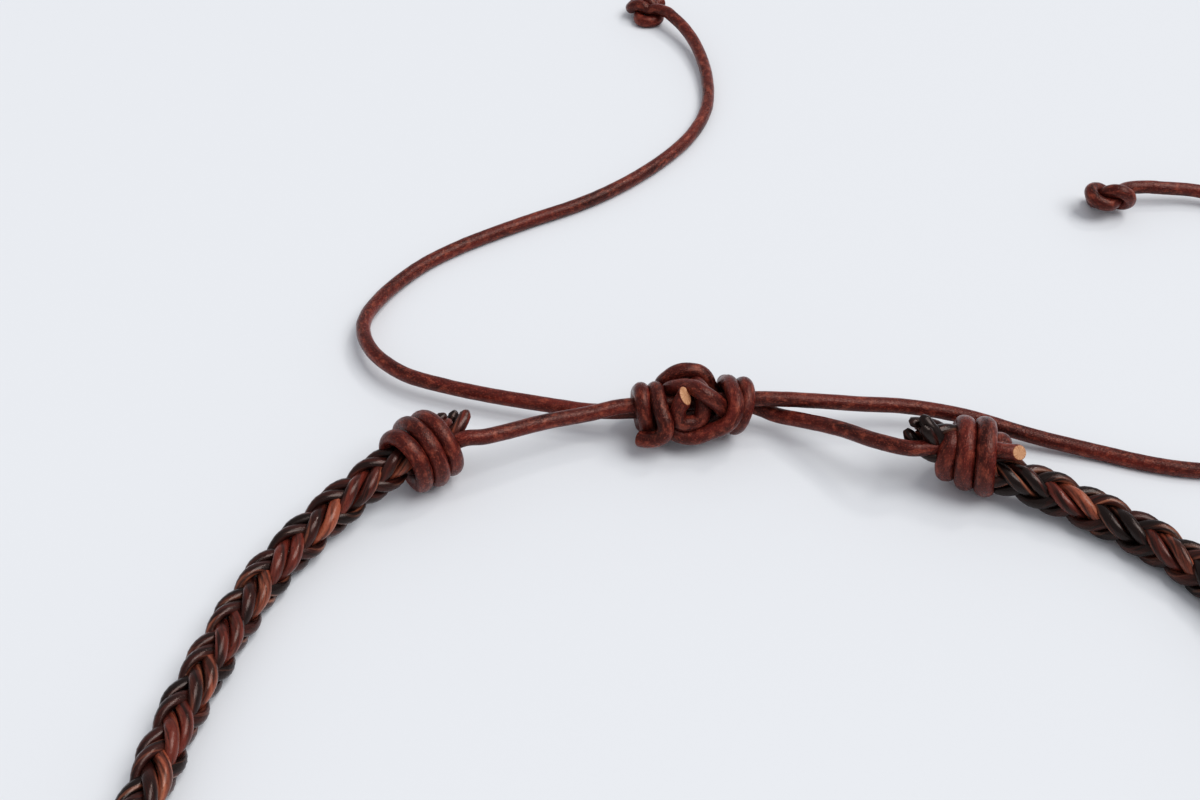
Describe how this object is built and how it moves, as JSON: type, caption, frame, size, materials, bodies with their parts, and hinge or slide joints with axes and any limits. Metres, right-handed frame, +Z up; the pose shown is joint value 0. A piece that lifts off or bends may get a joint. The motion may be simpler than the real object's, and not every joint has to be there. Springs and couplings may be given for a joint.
{
  "type": "braided leather cord necklace",
  "caption": "Round braided leather necklace loop with wrapped ends, leather tie cords and a sliding knot that sets its length, lying open on a table.",
  "frame": {"origin": "on the table, under the middle of the braided loop and its closure", "axes": "+Y from the middle of the loop to the closure, +X to the right for a viewer who looks along +Y, +Z up from the table"},
  "size_m": [0.1618, 0.267, 0.01],
  "materials": {
    "braid_leather": "dark dyed strands with rust-brown worn edges, semi-gloss",
    "cord_leather": "reddish mahogany dyed cord, semi-gloss, worn lighter along its high places, tan where it is cut"
  },
  "bodies": {
    "root": {"braid": "braid_leather", "left_end_wrap": "cord_leather", "right_end_wrap": "cord_leather", "left_tie_cord": "cord_leather", "right_tie_cord": "cord_leather", "sliding_knot": "cord_leather", "left_tie_stopper": "cord_leather", "right_tie_stopper": "cord_leather"}
  },
  "joints": []
}
